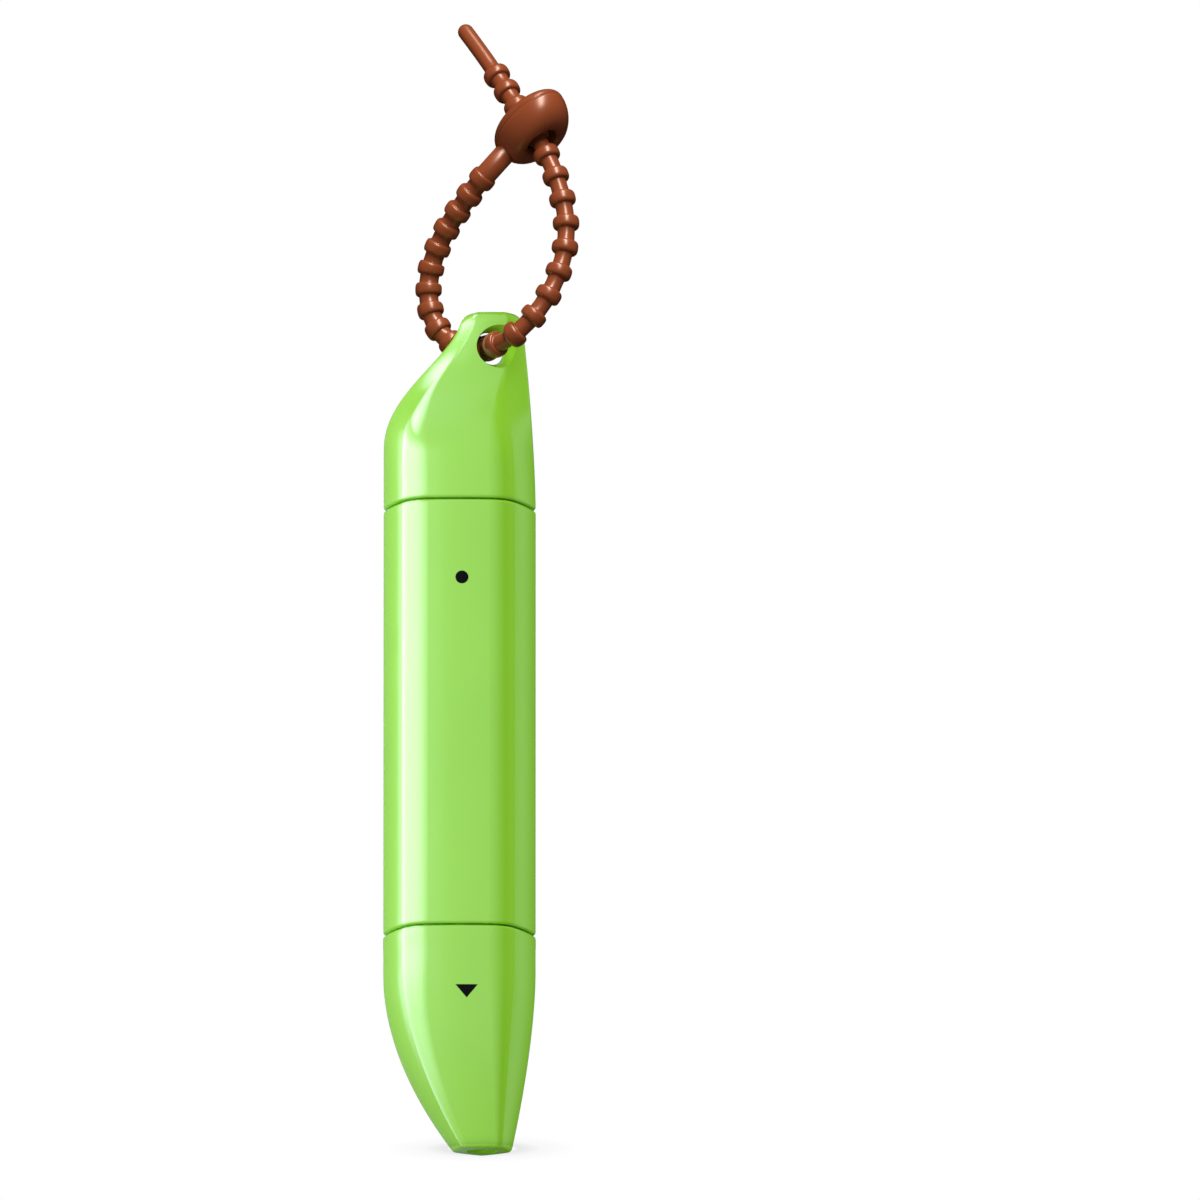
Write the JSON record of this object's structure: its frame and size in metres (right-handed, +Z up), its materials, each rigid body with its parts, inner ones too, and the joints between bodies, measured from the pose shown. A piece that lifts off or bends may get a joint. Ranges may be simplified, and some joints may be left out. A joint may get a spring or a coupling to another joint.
{
  "type": "stain remover pen",
  "caption": "Banana-shaped double-ended stain remover pen with a sprung felt applicator under one cap, a bristle brush under the other and a beaded silicone wrist strap.",
  "frame": {"origin": "middle of the pen's base on the surface that it stands on, under the middle of its box without the strap", "axes": "+Z up along the pen, from the brush cap's tip to the strap eye; the flat face that carries the marks looks along -Y; the tips lean to +X"},
  "size_m": [0.0301, 0.0235, 0.1776],
  "materials": {
    "green_shell": "glossy injection-moulded plastic",
    "inner_cap_plastic": "soft natural polyethylene",
    "neck_plastic": "satin green plastic",
    "nib_felt": "pressed felt",
    "seal_rubber": "smooth black rubber",
    "valve_plastic": "satin acetal",
    "spring_steel": "bright stainless wire",
    "vial_plastic": "natural polypropylene",
    "bristle_nylon": "white nylon filament",
    "strap_silicone": "satin brown silicone"
  },
  "bodies": {
    "brush_cap": {"brush_cap": "green_shell"},
    "pen_body": {"barrel_shell": "green_shell", "brush_base": "neck_plastic", "bristle_tufts": "bristle_nylon", "reservoir_vial": "vial_plastic", "front_section": "neck_plastic", "vial_o_ring": "seal_rubber", "valve_cage": "valve_plastic", "valve_seat": "seal_rubber", "valve_spring": "spring_steel"},
    "nib": {"felt_nib": "nib_felt", "valve_stem": "valve_plastic"},
    "remover_cap": {"remover_cap": "green_shell", "inner_cap": "inner_cap_plastic"},
    "strap": {"strap_cord": "strap_silicone", "strap_lock": "strap_silicone"}
  },
  "joints": [
    {"name": "brush_cap_pull", "type": "slide", "parent": "brush_cap", "child": "pen_body", "axis": [0, 0, 1], "range_m": [0, 0.03]},
    {"name": "remover_cap_pull", "type": "slide", "parent": "pen_body", "child": "remover_cap", "axis": [0, 0, 1], "range_m": [0, 0.025]},
    {"name": "nib_press", "type": "slide", "parent": "pen_body", "child": "nib", "axis": [0, 0, -1], "range_m": [0, 0.0012], "stiffness_N_per_m": 600, "springref_m": -0.001, "deforming": ["valve_spring"]},
    {"name": "strap_swing", "type": "hinge", "parent": "remover_cap", "child": "strap", "pos_m": [0.0046, -0.00053, 0.12485], "axis": [-0.342, 0.9397, 0], "range_deg": [-90, 90]}
  ]
}
